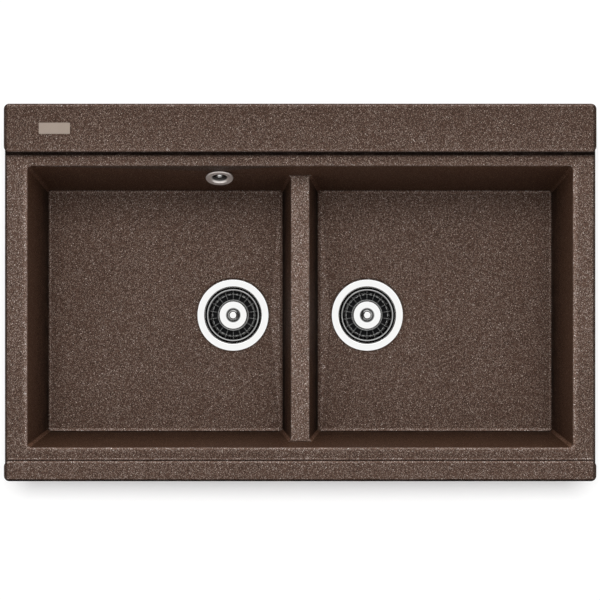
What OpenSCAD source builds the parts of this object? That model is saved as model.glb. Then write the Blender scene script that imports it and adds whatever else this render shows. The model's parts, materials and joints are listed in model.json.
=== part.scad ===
// Inset kitchen sink moulded in granite composite: two bowls with a low divider, a raised tap
// ledge, two basket wastes, an overflow and the swinging clamps that hold it in a worktop.
// Origin: centre of the rim's outline on the worktop. +X right, +Y to the tap ledge, +Z up.

/* [Rim] */
// Width of the rim, left to right
rim_w = 780; // [760:5:860]
// Depth of the rim, front to back
rim_d = 497; // [490:1:540]
// Height of the flat rim round the bowls above the worktop
rim_h = 9; // [8:0.5:14]
// Corner radius of the rim seen from above
rim_corner_r = 7; // [3:0.5:10]
// Rounding of the rim's top edges
rim_edge_r = 1.8; // [1:0.2:3]
// How far the flat rim's ends stand back from the ledge and the strip
rim_setback = 1.2; // [0.6:0.1:3]

/* [Tap ledge and front strip] */
// Depth of the flat top of the tap ledge
ledge_d = 61.6; // [60:0.1:90]
// Height of the tap ledge above the flat rim
ledge_h = 6; // [4.5:0.5:12]
// Rounding along the ledge's top edges
ledge_edge_r = 1.8; // [1.6:0.2:4]
// How far the riser under that rounding leans back
riser_lean = 1; // [0.4:0.2:3]
// Depth of the raised strip along the front
strip_d = 26.5; // [20:0.5:32]
// Height of the strip above the flat rim
strip_h = 2.5; // [1.6:0.1:5]
// Rounding of the strip's top edges
strip_edge_r = 1.3; // [0.8:0.1:1.5]
// Width of the channel at the foot of the ledge
ledge_channel_w = 4; // [1:0.1:5]
// Width of the channel at the foot of the strip
strip_channel_w = 1.4; // [0.8:0.1:2]
// Depth of both channels
channel_depth = 3; // [1:0.5:4]
// Depth of the hollow moulded under the tap ledge
ledge_hollow = 6; // [3:0.5:8]
// Diameter of the blind tap hole under the ledge
tap_hole_d = 35; // [28:1:38]
// Stone left over the blind tap hole
tap_skin = 5; // [3:0.5:7]
// Distance between neighbouring blind tap holes
tap_spacing = 140; // [130:5:160]
// Distance from the rim's back edge to the tap holes
tap_back = 36; // [34:0.5:40]

/* [Bowls] */
// Flat rim beside the bowls
side_rim = 30.4; // [28:0.5:50]
// Rim and strip in front of the bowls
front_rim = 44.1; // [42:0.5:60]
// Flat rim between the ledge's riser and the bowls
back_land = 17.4; // [12:0.1:30]
// Depth of the bowls below the flat rim
bowl_depth = 200; // [170:5:220]
// Lean of the outer side walls
side_draft = 5.1; // [2:0.1:8]
// Lean of the front wall
front_draft = 4.7; // [2:0.1:8]
// Lean of the back wall
back_draft = 7.9; // [3:0.1:10]
// Lean of the divider's two sides
divider_draft = 5.3; // [2:0.1:8]
// Corner radius of the bowls seen from above
bowl_corner_r = 5; // [4.5:0.5:12]
// Rounding where the rim turns down into the bowls
bowl_edge_r = 2.5; // [1.5:0.5:4]
// Rounding between the walls and the floor
floor_fillet_r = 4; // [2:0.5:4]
// Fall of the floor towards the waste
floor_fall = 2; // [1:0.5:4]
// Thickness of walls and floor
wall_t = 8; // [6:0.5:9]
// Width of the divider at its top
divider_w = 24.2; // [24:0.2:40]
// How far the divider's top lies below the flat rim
divider_drop = 73; // [50:1:90]
// Rounding of the divider's top edges
divider_edge_r = 2.5; // [1.5:0.5:4]

/* [Wastes] */
// Distance from the sink's middle to each waste
waste_x = 91; // [85:1:120]
// Place of the wastes, front to back
waste_y = -30.5; // [-60:0.5:20]
// Width of the steel flange round the cup
flange_w = 11.3; // [10.3:0.5:14.3]
// Bore of the steel cup
cup_bore_d = 75.4; // [75:0.2:77]
// Depth of the steel cup
cup_depth = 42; // [41:1:50]
// Steel sheet of cup and basket
sheet_t = 0.9; // [0.7:0.1:1]
// Diameter of the waste hole in the stone
waste_hole_d = 82; // [80.5:0.5:83]
// Stone under the floor at the waste
waste_pad_t = 12; // [10:0.5:16]
// Thickness of the gasket under the flange
upper_gasket_t = 2; // [1:0.5:3]
// Thickness of the gasket under the stone
lower_gasket_t = 3; // [2:0.5:4]
// Outer diameter of the outlet thread, G 1 1/2
outlet_d = 47.8; // [40:0.1:48]
// Length of the outlet thread
outlet_l = 22; // [16:1:34]
// Wall of the plastic waste body
body_wall = 3; // [2:0.5:4]

/* [Basket strainers] */
// Outer diameter of the basket's rolled rim
basket_d = 72; // [68:0.2:73]
// How far the rolled rim lies below the flange
basket_sink = 3; // [2:0.5:6]
// Depth of the basket below its rim
basket_h = 24; // [20:1:26]
// Outer diameter of the slotted ring
slot_ring_d = 57; // [54:0.5:58]
// Diameter of the raised middle
hub_d = 38.6; // [34:0.2:40]
// Number of slots
slot_count = 18; // [12:1:24]
// Width of the ribs between the slots
slot_rib = 1.5; // [1.2:0.1:2.5]
// Diameter of the lifting knob
knob_d = 12; // [10:0.5:13]
// Upward travel that lifts a basket clear of the sink
lift_travel = 270; // [260:5:320]

/* [Overflow] */
// Place of the overflow, left of the middle
overflow_x = -107; // [-130:1:-60]
// Depth of the overflow's centre below the flat rim
overflow_drop = 56; // [50:1:60]
// How far the rosette's face leans back from upright
overflow_tilt = 27.5; // [22:0.5:28]
// How far the rosette's centre stands out from the back wall
overflow_stand = 6.4; // [6.3:0.1:8]
// Diameter of the rosette
rosette_d = 36.5; // [34:0.5:42]
// Diameter of the dish in its middle
dish_d = 22.6; // [20:0.2:23]
// Diameter of the overflow hole
overflow_hole_d = 26; // [25:0.5:28]
// Outer diameter of the rigid overflow pipe
pipe_d = 22; // [20:0.5:24]
// Wall of the overflow pipe
pipe_wall = 1.8; // [1.2:0.2:2.5]
// Bend radius of the overflow pipe
pipe_bend = 30; // [24:1:40]

/* [Worktop clamps] */
// Thickness of the worktop that the clamps are set to
worktop_t = 38; // [28:1:40]
// How far the cut-out's edge lies inside the rim's outline
cutout_inset = 10; // [9:0.5:14]
// Distance from the middle to the inner clamps
clamp_x1 = 190; // [180:5:230]
// Distance from the middle to the outer clamps
clamp_x2 = 330; // [280:5:340]
// Distance from the cut-out's edge to the clamp screws
clamp_inset = 10; // [9:0.5:12]
// Reach of a jaw from its screw
jaw_reach = 20; // [16:0.5:24]
// Diameter of the clamp screws
clamp_screw_d = 5; // [4:0.5:6]

/* [Badge plate] */
// Width of the blank plate on the ledge
badge_w = 41; // [20:1:60]
// Height of the blank plate on the ledge
badge_l = 14.7; // [10:0.1:25]
// Distance from the rim's left end to the plate's middle
badge_x = 66.6; // [50:1:120]
// Distance from the rim's back edge to the plate's middle
badge_y = 32.4; // [25:0.5:40]

/* [Hidden] */
$fn = 64;

stone = "#5b4a41";
steel = "#d9dbdc";
brushed = "#a39d96";
rubber = "#26262a";
plastic = "#e8e8e4";
zinc = "#b9bcc0";

// Overlap that makes cuts and joins pass cleanly through a face
lap = 1;
// Play between pieces that move past each other
rest_gap = 0.3;
// Play round a part that turns on a screw
turn_gap = 0.05;
// Play round a plate or ring laid in a recess
lay_gap = 0.3;
// Steps in a quarter turn of a moulded rounding
corner_steps = 5;

open_x = rim_w / 2 - side_rim;
open_front = -rim_d / 2 + front_rim;
riser_y = rim_d / 2 - ledge_d - riser_lean - ledge_edge_r;
open_back = riser_y - back_land;
strip_y = -rim_d / 2 + strip_d;
ledge_top = rim_h + ledge_h;
strip_top = rim_h + strip_h;
floor_edge_z = rim_h - bowl_depth;
floor_z = floor_edge_z - floor_fall;
divider_z = rim_h - divider_drop;

// Walls of the bowls at height z, pushed outwards by t
function side_x(z, t) = open_x - (rim_h - z) * tan(side_draft) + t;
function front_y(z, t) = open_front + (rim_h - z) * tan(front_draft) - t;
function back_y(z, t) = open_back - (rim_h - z) * tan(back_draft) + t;
function divider_x(z, t) = divider_w / 2 + (divider_z - z) * tan(divider_draft) - t;

// Heights and radii shared by the pieces of a waste
flange_z = floor_z - rest_gap;
flange_r = cup_bore_d / 2 + flange_w;
flange_lip = 1.6;
recess_gap = 1.5;
pad_rim = 10;
waste_recess_r = flange_r + recess_gap;
waste_pad_r = flange_r + pad_rim;
waste_pad_z = floor_z - waste_pad_t;
upper_gasket_z = flange_z - sheet_t - upper_gasket_t;
gasket_gap = 0.5;
gasket_bore_r = waste_hole_d / 2 + gasket_gap;
body_top_z = waste_pad_z - lower_gasket_t;
body_plate_inset = 4;
body_plate_r = waste_pad_r - body_plate_inset;
body_plate_t = 5;
body_r = gasket_bore_r + gasket_gap + body_wall;
cup_to_shoulder = 17.7;
body_cone_l = 13;
body_shoulder_z = flange_z - cup_depth - cup_to_shoulder;
body_cone_z = body_shoulder_z - body_cone_l;
neck_r = 22;
neck_l = 9;
neck_z = flange_z - cup_depth - neck_l;
neck_to_hub = 3.7;
body_hub_top_z = neck_z - neck_to_hub;
body_hub_l = 16;
body_hub_end_z = body_hub_top_z - body_hub_l;
outlet_z = body_cone_z - outlet_l;
bush_r = 7.5;
bush_h = 4;
bolt_r = 3;
bolt_head_r = 6;
bolt_head_h = 3;
bolt_end_z = body_hub_end_z + 2;
spoke_count = 4;
spoke_t = 3;

// Frame of the overflow: its middle on the seat, facing into the bowl and up
overflow_z = rim_h - overflow_drop;
overflow_y = back_y(overflow_z, 0) - overflow_stand;
seat_l = 22;
seat_margin = 0.75;
seat_r = rosette_d / 2 - seat_margin;
overflow_gasket_t = 3;
elbow_plate_t = 3;
elbow_neck_l = 10;
elbow_reach = seat_l + overflow_gasket_t + elbow_plate_t + elbow_neck_l;
elbow_y = overflow_y + elbow_reach * cos(overflow_tilt);
elbow_z = overflow_z - elbow_reach * sin(overflow_tilt);
elbow_r = 15;
spigot_r = 14;
spigot_l = 32;
pipe_fit = 0.2;
spigot_inner_r = pipe_d / 2 + pipe_fit;
pipe_top_z = elbow_z - 12;
nut_r = 17;
nut_l = 18;
nut_cover = 12;
nut_flats = 12;
nut_lead = 3;
nut_room = 2;
overflow_screw_r = 2.5;
dish_z = -2.6;
pipe_z = body_top_z - body_plate_t - nut_r - nut_room;
inlet_l = 16;
inlet_end = body_r + inlet_l;
pipe_turn = atan2(elbow_y - waste_y, overflow_x + waste_x);
pipe_run = norm([overflow_x + waste_x, elbow_y - waste_y]);

// Clamp screws stand under the rim, inside the cut-out
clamp_y = rim_d / 2 - cutout_inset - clamp_inset;
clamp_places = [
    for (row = [-1, 1])
        for (x = [-clamp_x2, -clamp_x1, clamp_x1, clamp_x2])
            [x, row * clamp_y, row]
];
clamp_boss_r = 9;
clamp_boss_h = 8;
clamp_hole_r = 4;
clamp_hole_h = 12;
collar_t = 1.5;
jaw_hub_r = 6.5;
jaw_hub_h = 10;
jaw_arm_t = 5;
tooth_h = 4;
jaw_w = 10;
jaw_bottom_z = -worktop_t - tooth_h - jaw_hub_h;

seal_inset = 3;
seal_margin = 1;
seal_h = 2;
badge_t = 1.2;
badge_recess = 0.8;

// Points of an arc, as [x, y]
function arc(cx, cy, r, from, to, steps) =
    [for (i = [0:steps]) let (a = from + (to - from) * i / steps) [cx + r * cos(a), cy + r * sin(a)]];

// Outline of a rectangle with round corners, anticlockwise from its right-hand back corner
function round_rect(x0, x1, y0, y1, r) = concat(
    arc(x1 - r, y1 - r, r, 0, 90, corner_steps),
    arc(x0 + r, y1 - r, r, 90, 180, corner_steps),
    arc(x0 + r, y0 + r, r, 180, 270, corner_steps),
    arc(x1 - r, y0 + r, r, 270, 360, corner_steps)
);

function at_height(outline, z) = [for (p = outline) [p[0], p[1], z]];

function reversed(list) = [for (i = [len(list) - 1:-1:0]) list[i]];

// Two triangles for each step round the band between ring k and the ring above it
function band_faces(k, size, skipped = -1) = [
    for (i = [0:size - 1])
        if (i != skipped)
            let (a = k * size + i, b = k * size + (i + 1) % size)
                each [[a, a + size, b + size], [a, b + size, b]]
];

// Solid through a stack of outlines that all have the same number of points
module loft(rings) {
    size = len(rings[0]);
    last = len(rings) - 1;
    polyhedron(
        points = [for (r = rings) each r],
        faces = concat(
            [[for (i = [0:size - 1]) i]],
            [for (k = [0:last - 1]) each band_faces(k, size)],
            [[for (i = [size - 1:-1:0]) last * size + i]]
        )
    );
}

// Slab with round corners and rounded top edges; the front side leans back by lean
module slab(half_w, y0, y1, top, edge_r, lean) {
    function slab_ring(z, inset, back) = at_height(
        round_rect(-half_w + inset, half_w - inset, y0 + inset + back, y1 - inset, rim_corner_r - inset),
        z
    );
    loft(concat(
        [slab_ring(0, 0, 0), slab_ring(top - edge_r, 0, lean)],
        [for (i = [1:corner_steps])
            let (a = 90 * i / corner_steps)
                slab_ring(top - edge_r * (1 - sin(a)), edge_r * (1 - cos(a)), lean)]
    ));
}

// Channel of width w along the foot of a step at y, with a broken edge on the side of direction dir
module channel(y, w, dir) {
    edge = 0.8;
    outline = [
        [0, lap], [0, -channel_depth], [w, -channel_depth], [w, -edge], [w + edge + lap, lap]
    ];
    translate([-rim_w / 2 - lap, y, rim_h])
        rotate([90, 0, 90])
            linear_extrude(rim_w + 2 * lap)
                polygon([for (p = outline) [p[0] * dir, p[1]]]);
}

// Right half of the space taken by both bowls, pushed outwards by t, as a stack of rings.
// Each ring starts at the outer back corner and runs anticlockwise. The rings above the divider
// reach the middle plane, where their side from point middle_edge to the next is left open.
middle_edge = 2 * corner_steps + 1;
outer_end = corner_steps;
front_start = 3 * corner_steps + 3;

function bowl_ring(z, t, inset) = at_height(
    round_rect(
        divider_x(z, t) + inset, side_x(z, t) - inset,
        front_y(z, t) + inset, back_y(z, t) - inset,
        bowl_corner_r + t - inset
    ),
    z
);

// Ring at the divider's rounded edge, whose divider side is carried over by shift
function crest_ring(z, t, shift) = [
    for (i = [0:len(bowl_ring(z, t, 0)) - 1])
        let (
            p = bowl_ring(z, t, 0)[i],
            turn = i <= middle_edge ? i - outer_end - 1 : front_start - 1 - i,
            share = i > outer_end && i < front_start ? sin(90 * turn / corner_steps) : 0
        )
            [p[0] - shift * share, p[1], p[2]]
];

// Ring of the space over the divider. Points beside the divider take height z_in, others z_out.
function upper_ring(z_out, z_in, t, outset) =
    let (
        r = bowl_corner_r + t,
        reach = divider_x(divider_z, t) + r,
        outer = round_rect(
            -side_x(z_out, t) - outset, side_x(z_out, t) + outset,
            front_y(z_out, t) - outset, back_y(z_out, t) + outset, r + outset
        )
    )
        concat(
            at_height([for (i = [0:corner_steps]) outer[i]], z_out),
            [for (i = [0:corner_steps])
                let (z = i == 0 ? z_out : z_in)
                    [reach * (1 - i / corner_steps), back_y(z, t) + outset, z]],
            [for (i = [0:corner_steps])
                let (z = i == corner_steps ? z_out : z_in)
                    [reach * i / corner_steps, front_y(z, t) - outset, z]],
            at_height([for (i = [0:corner_steps]) outer[front_start + i]], z_out)
        );

// Circle round the waste, with its points matched to those of the floor's corners
function waste_ring(z) =
    let (r = waste_recess_r + lap, spread = 74, first = (90 - spread) / 2)
        [for (q = [0:3])
            for (i = [0:corner_steps])
                let (a = 90 * q + first + spread * i / corner_steps)
                    [waste_x + r * cos(a), waste_y + r * sin(a), z]];

// Rings from the waste up over the divider. crest_r rounds the divider's edge.
function lower_rings(t, crest_r) =
    let (fillet = floor_fillet_r + t, crest_z = divider_z - t)
        concat(
            [waste_ring(floor_z - t)],
            [for (i = [0:corner_steps])
                let (a = 90 * i / corner_steps)
                    bowl_ring(floor_edge_z - t + fillet * (1 - cos(a)), t, fillet * (1 - sin(a)))],
            [for (i = [0:corner_steps - 1])
                let (a = 90 * i / (corner_steps - 1))
                    crest_ring(crest_z - crest_r * (1 - sin(a)), t, crest_r * (1 - cos(a)))],
            [upper_ring(crest_z + lap, crest_z, t, 0)]
        );

// Rings from over the divider to the flat rim, ending just above it, with the rim's rounding
edge_stop = 80;
function rim_rings(over) =
    let (
        r = bowl_edge_r,
        last_z = rim_h - r * (1 - sin(edge_stop)),
        last_out = r * (1 - cos(edge_stop))
    )
        concat(
            [for (i = [0:corner_steps])
                let (a = edge_stop * i / corner_steps, z = rim_h - r * (1 - sin(a)))
                    upper_ring(z, z, 0, r * (1 - cos(a)))],
            [let (z = rim_h + over)
                upper_ring(z, z, 0, last_out + (z - last_z) * tan(edge_stop))]
        );

// Both bowls as one solid: the right-hand rings and their mirror image, joined on the middle plane
module bowl_space(t, crest_r, top_rings) {
    lower = lower_rings(t, crest_r);
    rings = concat(lower, top_rings);
    size = len(rings[0]);
    last = len(rings) - 1;
    opened = len(lower) - 1;
    points = [for (r = rings) each r];
    count = len(points);
    bands = [for (k = [0:last - 1]) each band_faces(k, size, k >= opened ? middle_edge : -1)];
    floor_face = [for (i = [0:size - 1]) i];
    // The lid starts on a round corner, so that no three of its first points are in line
    lid_start = front_start + 2;
    lid = concat(
        [for (i = [lid_start:size + middle_edge]) last * size + i % size],
        [for (i = [size + middle_edge - 1:-1:middle_edge + 2]) count + last * size + i % size],
        [for (i = [middle_edge + 1:lid_start - 1]) last * size + i]
    );
    polyhedron(
        points = concat(points, [for (p = points) [-p[0], p[1], p[2]]]),
        faces = concat(
            bands,
            [for (f = bands) [count + f[2], count + f[1], count + f[0]]],
            [floor_face, [for (i = reversed(floor_face)) count + i]],
            [concat([lid[0]], reversed([for (i = [1:len(lid) - 1]) lid[i]]))]
        )
    );
}

module bowls_outside() {
    top = rim_h / 2;
    bowl_space(wall_t, divider_w / 2 - wall_t - lap, [upper_ring(top, top, wall_t, 0)]);
}

module bowls_inside() {
    bowl_space(0, divider_edge_r, rim_rings(lap));
}

module both_sides() {
    for (side = [-1, 1])
        at_waste(side)
            children();
}

module at_waste(side) {
    translate([side * waste_x, waste_y, 0])
        children();
}

module at_overflow() {
    translate([overflow_x, overflow_y, overflow_z])
        rotate([90 - overflow_tilt, 0, 0])
            children();
}

// Upright plane from the left waste to the elbow, with +X along it
module along_pipe() {
    translate([-waste_x, waste_y, 0])
        rotate([0, 0, pipe_turn])
            children();
}

// Ring or disc between heights z0 and z1
module ring(outer_r, inner_r, z0, z1) {
    translate([0, 0, z0])
        difference() {
            cylinder(r = outer_r, h = z1 - z0);
            if (inner_r > 0)
                translate([0, 0, -lap])
                    cylinder(r = inner_r, h = z1 - z0 + 2 * lap);
        }
}

module disc(r, z0, z1) {
    ring(r, 0, z0, z1);
}

// Turned or moulded piece from an outline in [radius, height]
module turned(outline) {
    rotate_extrude()
        polygon(outline);
}

function left_of(a, b) = let (d = (b - a) / norm(b - a)) [-d[1], d[0]];

// Outline of a sheet of thickness t whose upper face follows path, walked from the rim inwards
function sheet(path, t) =
    let (last = len(path) - 1)
        concat(path, [
            for (i = [last:-1:0])
                let (
                    n1 = left_of(path[max(i - 1, 0)], path[max(i, 1)]),
                    n2 = left_of(path[min(i, last - 1)], path[min(i + 1, last)])
                )
                    path[i] + (n1 + n2) * t / (1 + n1 * n2)
        ]);

module rim() {
    slab(rim_w / 2 - rim_setback, -rim_d / 2 + lap, rim_d / 2 - lap, rim_h, rim_edge_r, 0);
    slab(rim_w / 2, riser_y, rim_d / 2, ledge_top, ledge_edge_r, riser_lean);
    slab(rim_w / 2, -rim_d / 2, strip_y, strip_top, strip_edge_r, 0);
}

// Band in the rim's underside, inset from its outline
module seal_band(gap, z1) {
    outer = seal_inset + gap;
    inner = cutout_inset - seal_margin - gap;
    inner_r = 1;
    translate([0, 0, -lap])
        linear_extrude(z1 + lap)
            difference() {
                polygon(round_rect(
                    -rim_w / 2 + outer, rim_w / 2 - outer, -rim_d / 2 + outer, rim_d / 2 - outer,
                    inner_r + inner - outer
                ));
                polygon(round_rect(
                    -rim_w / 2 + inner, rim_w / 2 - inner, -rim_d / 2 + inner, rim_d / 2 - inner,
                    inner_r
                ));
            }
}

module at_taps() {
    for (i = [-1:1])
        translate([i * tap_spacing, rim_d / 2 - tap_back, 0])
            children();
}

// Hollow under the tap ledge, with ribs and with solid pads round the blind tap holes
module ledge_underside() {
    y0 = riser_y + riser_lean + ledge_edge_r;
    y1 = clamp_y - clamp_boss_r - 3;
    half = rim_w / 2 - 2 * cutout_inset;
    rib_t = 6;
    rib_pitch = 100;
    pad_w = tap_hole_d + 18;
    difference() {
        translate([-half, y0, -lap])
            cube([2 * half, y1 - y0, ledge_hollow + lap]);
        for (i = [-1:1])
            translate([i * tap_spacing - pad_w / 2, y0 - lap, -2 * lap])
                cube([pad_w, y1 - y0 + 2 * lap, ledge_hollow + 3 * lap]);
        for (x = [-3.5:3.5])
            translate([x * rib_pitch - rib_t / 2, y0 - lap, -2 * lap])
                cube([rib_t, y1 - y0 + 2 * lap, ledge_hollow + 3 * lap]);
    }
    at_taps()
        disc(tap_hole_d / 2, -lap, ledge_top - tap_skin);
}

module badge_outline(gap) {
    translate([-rim_w / 2 + badge_x, rim_d / 2 - badge_y])
        polygon(round_rect(
            -badge_w / 2 - gap, badge_w / 2 + gap, -badge_l / 2 - gap, badge_l / 2 + gap, 1
        ));
}

module sink_body() {
    color(stone)
        difference() {
            union() {
                difference() {
                    union() {
                        rim();
                        bowls_outside();
                        both_sides()
                            disc(waste_pad_r, waste_pad_z, floor_z - wall_t / 2);
                        for (p = clamp_places)
                            translate([p[0], p[1], 0])
                                disc(clamp_boss_r, -clamp_boss_h, rim_h / 2);
                    }
                    bowls_inside();
                }
                at_overflow()
                    disc(seat_r, -seat_l, 0);
            }
            both_sides() {
                disc(waste_recess_r, upper_gasket_z, floor_z + floor_fall + lap);
                disc(waste_hole_d / 2, waste_pad_z - lap, floor_z);
            }
            at_overflow()
                disc(overflow_hole_d / 2, -seat_l - lap, lap);
            for (p = clamp_places)
                translate([p[0], p[1], 0])
                    disc(clamp_hole_r, -clamp_boss_h - lap, clamp_hole_h - clamp_boss_h);
            ledge_underside();
            channel(riser_y + riser_lean * rim_h / (ledge_top - ledge_edge_r), ledge_channel_w, -1);
            channel(strip_y, strip_channel_w, 1);
            seal_band(0, seal_h);
            translate([0, 0, ledge_top - badge_recess])
                linear_extrude(badge_recess + lap)
                    badge_outline(lay_gap);
        }
}

module rim_seal() {
    color(rubber)
        intersection() {
            seal_band(lay_gap, seal_h);
            translate([-rim_w / 2, -rim_d / 2, 0])
                cube([rim_w, rim_d, seal_h]);
        }
}

module badge_plate() {
    color(brushed)
        translate([0, 0, ledge_top - badge_recess])
            linear_extrude(badge_t)
                badge_outline(0);
}

// Pressed steel flange and cup, with a spoked bush for the clamp bolt in its neck
module flange_cup(side) {
    lip_r = 1.2;
    mouth_r = 2.5;
    base_r = 6;
    neck_bend = 1.5;
    taper = 1.2;
    bore_r = cup_bore_d / 2;
    wall_end = bore_r - taper;
    path = concat(
        [[flange_r, -flange_lip]],
        arc(flange_r - lip_r, -lip_r, lip_r, 0, 90, 4),
        arc(bore_r + mouth_r, -mouth_r, mouth_r, 90, 180, 5),
        arc(wall_end - base_r, base_r - cup_depth, base_r, 0, -90, 6),
        arc(neck_r + neck_bend, -cup_depth - neck_bend, neck_bend, 90, 180, 4),
        [[neck_r, -cup_depth - neck_l]]
    );
    color(steel)
        at_waste(side)
            translate([0, 0, flange_z]) {
                turned(sheet(path, sheet_t));
                translate([0, 0, -cup_depth - neck_l])
                    difference() {
                        union() {
                            cylinder(r = bush_r, h = bush_h);
                            for (i = [0:spoke_count - 1])
                                rotate([0, 0, (i + 0.5) * 360 / spoke_count])
                                    translate([0, -spoke_t / 2, 0])
                                        cube([neck_r + sheet_t / 2, spoke_t, bush_h]);
                        }
                        translate([0, 0, -lap])
                            cylinder(r = bolt_r + turn_gap, h = bush_h + 2 * lap);
                        translate([0, 0, bush_h - bolt_head_h])
                            cylinder(r1 = bolt_r + turn_gap, r2 = bolt_head_r + rest_gap, h = bolt_head_h);
                    }
            }
}

module upper_gasket(side) {
    color(rubber)
        at_waste(side)
            ring(flange_r - flange_lip - rest_gap, gasket_bore_r, upper_gasket_z, upper_gasket_z + upper_gasket_t);
}

module lower_gasket(side) {
    color(rubber)
        at_waste(side)
            ring(body_plate_r, gasket_bore_r, body_top_z, waste_pad_z);
}

// Moulded funnel under the stone, with a ribbed hub for the bolt and a threaded outlet
module waste_body(side, with_inlet) {
    outlet_r = outlet_d / 2;
    inner_r = body_r - body_wall;
    hub_r = 8;
    rib_in = bolt_r + 2;
    rib_end_z = body_cone_z + 2;
    thread_groove = 1.5;
    color(plastic)
        at_waste(side) {
            difference() {
                union() {
                    turned([
                        [0, body_top_z], [body_plate_r, body_top_z],
                        [body_plate_r, body_top_z - body_plate_t], [body_r, body_top_z - body_plate_t],
                        [body_r, body_shoulder_z], [outlet_r + body_wall / 2, body_cone_z],
                        [outlet_r + body_wall / 2, body_cone_z - thread_groove],
                        [outlet_r, body_cone_z - thread_groove], [outlet_r, outlet_z], [0, outlet_z]
                    ]);
                    if (with_inlet)
                        rotate([0, 0, pipe_turn])
                            translate([inner_r, 0, pipe_z])
                                rotate([0, 90, 0])
                                    cylinder(r = spigot_r, h = inlet_end - inner_r);
                }
                turned([
                    [0, body_top_z + lap], [inner_r, body_top_z + lap],
                    [inner_r, body_shoulder_z], [outlet_r - body_wall, body_cone_z],
                    [outlet_r - body_wall, outlet_z - lap], [0, outlet_z - lap]
                ]);
                if (with_inlet)
                    rotate([0, 0, pipe_turn])
                        translate([0, 0, pipe_z])
                            rotate([0, 90, 0])
                                cylinder(r = spigot_inner_r, h = inlet_end + lap);
            }
            difference() {
                union() {
                    disc(hub_r, body_hub_end_z, body_hub_top_z);
                    for (i = [0:spoke_count - 1])
                        rotate([90, 0, (i + 0.5) * 360 / spoke_count])
                            linear_extrude(spoke_t, center = true)
                                polygon([
                                    [rib_in, body_hub_top_z], [inner_r + body_wall / 2, body_hub_top_z],
                                    [inner_r + body_wall / 2, body_shoulder_z],
                                    [outlet_r - body_wall / 2, rib_end_z], [rib_in, rib_end_z]
                                ]);
                }
                disc(bolt_r, body_hub_end_z - lap, body_hub_top_z + lap);
            }
        }
}

// Countersunk bolt that draws cup and funnel together through the stone
module clamp_bolt(side) {
    head_z = neck_z + bush_h;
    slot_w = 1.2;
    slot_h = 1;
    color(steel)
        at_waste(side)
            difference() {
                turned([
                    [0, bolt_end_z], [bolt_r, bolt_end_z], [bolt_r, head_z - bolt_head_h],
                    [bolt_head_r, head_z], [0, head_z]
                ]);
                translate([-bolt_head_r - lap, -slot_w / 2, head_z - slot_h])
                    cube([2 * (bolt_head_r + lap), slot_w, slot_h + lap]);
            }
}

// Heights in the basket, below the flange's top
basket_floor = basket_sink + basket_h;
hub_drop = 13;
dimple_drop = hub_drop + 5;
stem_r = 3;
stem_shoulder_r = 4.5;
stopper_top = 31;
stopper_base = cup_depth - rest_gap;
stopper_body = stopper_base - 1.3;

// Pressed basket: rolled rim, tapering wall, slotted ring and raised middle with a dimple
module basket(side) {
    rim_r = basket_d / 2;
    roll_r = 1.4;
    bend_r = 1.5;
    wall_top_r = rim_r - 3;
    ring_r = slot_ring_d / 2;
    hub_r = hub_d / 2;
    dimple_r = 9.6;
    dimple_slope = 2.8;
    slot_in = hub_r + 1.7;
    slot_out = ring_r - 0.9;
    pitch = 360 / slot_count;
    function slot_half(r) = r * tan(pitch / 2) - slot_rib / 2;
    path = concat(
        arc(rim_r - roll_r, -basket_sink - roll_r, roll_r, -30, 90, 5),
        arc(wall_top_r + roll_r, -basket_sink - roll_r, roll_r, 90, 180, 4),
        arc(ring_r + 0.7 - bend_r, bend_r - basket_floor, bend_r, 0, -90, 4),
        arc(hub_r + bend_r, bend_r - basket_floor, bend_r, -90, -180, 4),
        arc(hub_r - bend_r, -hub_drop - bend_r, bend_r, 0, 90, 4),
        [[dimple_r, -hub_drop], [dimple_r - dimple_slope, -dimple_drop], [stem_r + turn_gap, -dimple_drop]]
    );
    color(steel)
        at_waste(side)
            translate([0, 0, flange_z])
                difference() {
                    turned(sheet(path, sheet_t));
                    for (i = [0:slot_count - 1])
                        rotate([0, 0, -90 + (i + 0.5) * pitch])
                            translate([0, 0, -basket_floor - sheet_t - lap])
                                linear_extrude(sheet_t + 2 * lap)
                                    polygon([
                                        [slot_in, -slot_half(slot_in)], [slot_out, -slot_half(slot_out)],
                                        [slot_out, slot_half(slot_out)], [slot_in, slot_half(slot_in)]
                                    ]);
                }
}

// Turned knob standing in the dimple, with its thread in the stem
module basket_knob(side) {
    knob_r = knob_d / 2;
    knob_top = -5;
    knob_under = -9;
    shoulder_r = 2.6;
    foot_r = 5;
    thread_l = 6;
    color(steel)
        at_waste(side)
            translate([0, 0, flange_z])
                turned(concat(
                    [
                        [0, -dimple_drop - thread_l], [stem_r, -dimple_drop - thread_l],
                        [stem_r, -dimple_drop], [foot_r, -dimple_drop], [foot_r, -dimple_drop + 1],
                        [stem_r + 0.5, -dimple_drop + 2], [stem_r + 0.5, knob_under - 1]
                    ],
                    arc(knob_r - 1, knob_under + 0.2, 1, -60, 0, 2),
                    arc(knob_r - shoulder_r, knob_top - shoulder_r, shoulder_r, 0, 85, 5),
                    [[0, knob_top]]
                ));
}

// Stem from the basket's dimple down through the rubber stopper
module basket_stem(side) {
    head_r = 6;
    head_t = 1.5;
    color(steel)
        at_waste(side)
            translate([0, 0, flange_z])
                difference() {
                    turned([
                        [0, -dimple_drop - sheet_t], [stem_shoulder_r, -dimple_drop - sheet_t],
                        [stem_shoulder_r, -stopper_top], [stem_r, -stopper_top], [stem_r, -stopper_body],
                        [head_r, -stopper_body], [head_r, -stopper_body - head_t], [0, -stopper_body - head_t]
                    ]);
                    disc(stem_r, -dimple_drop - 6, -dimple_drop);
                }
}

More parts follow.
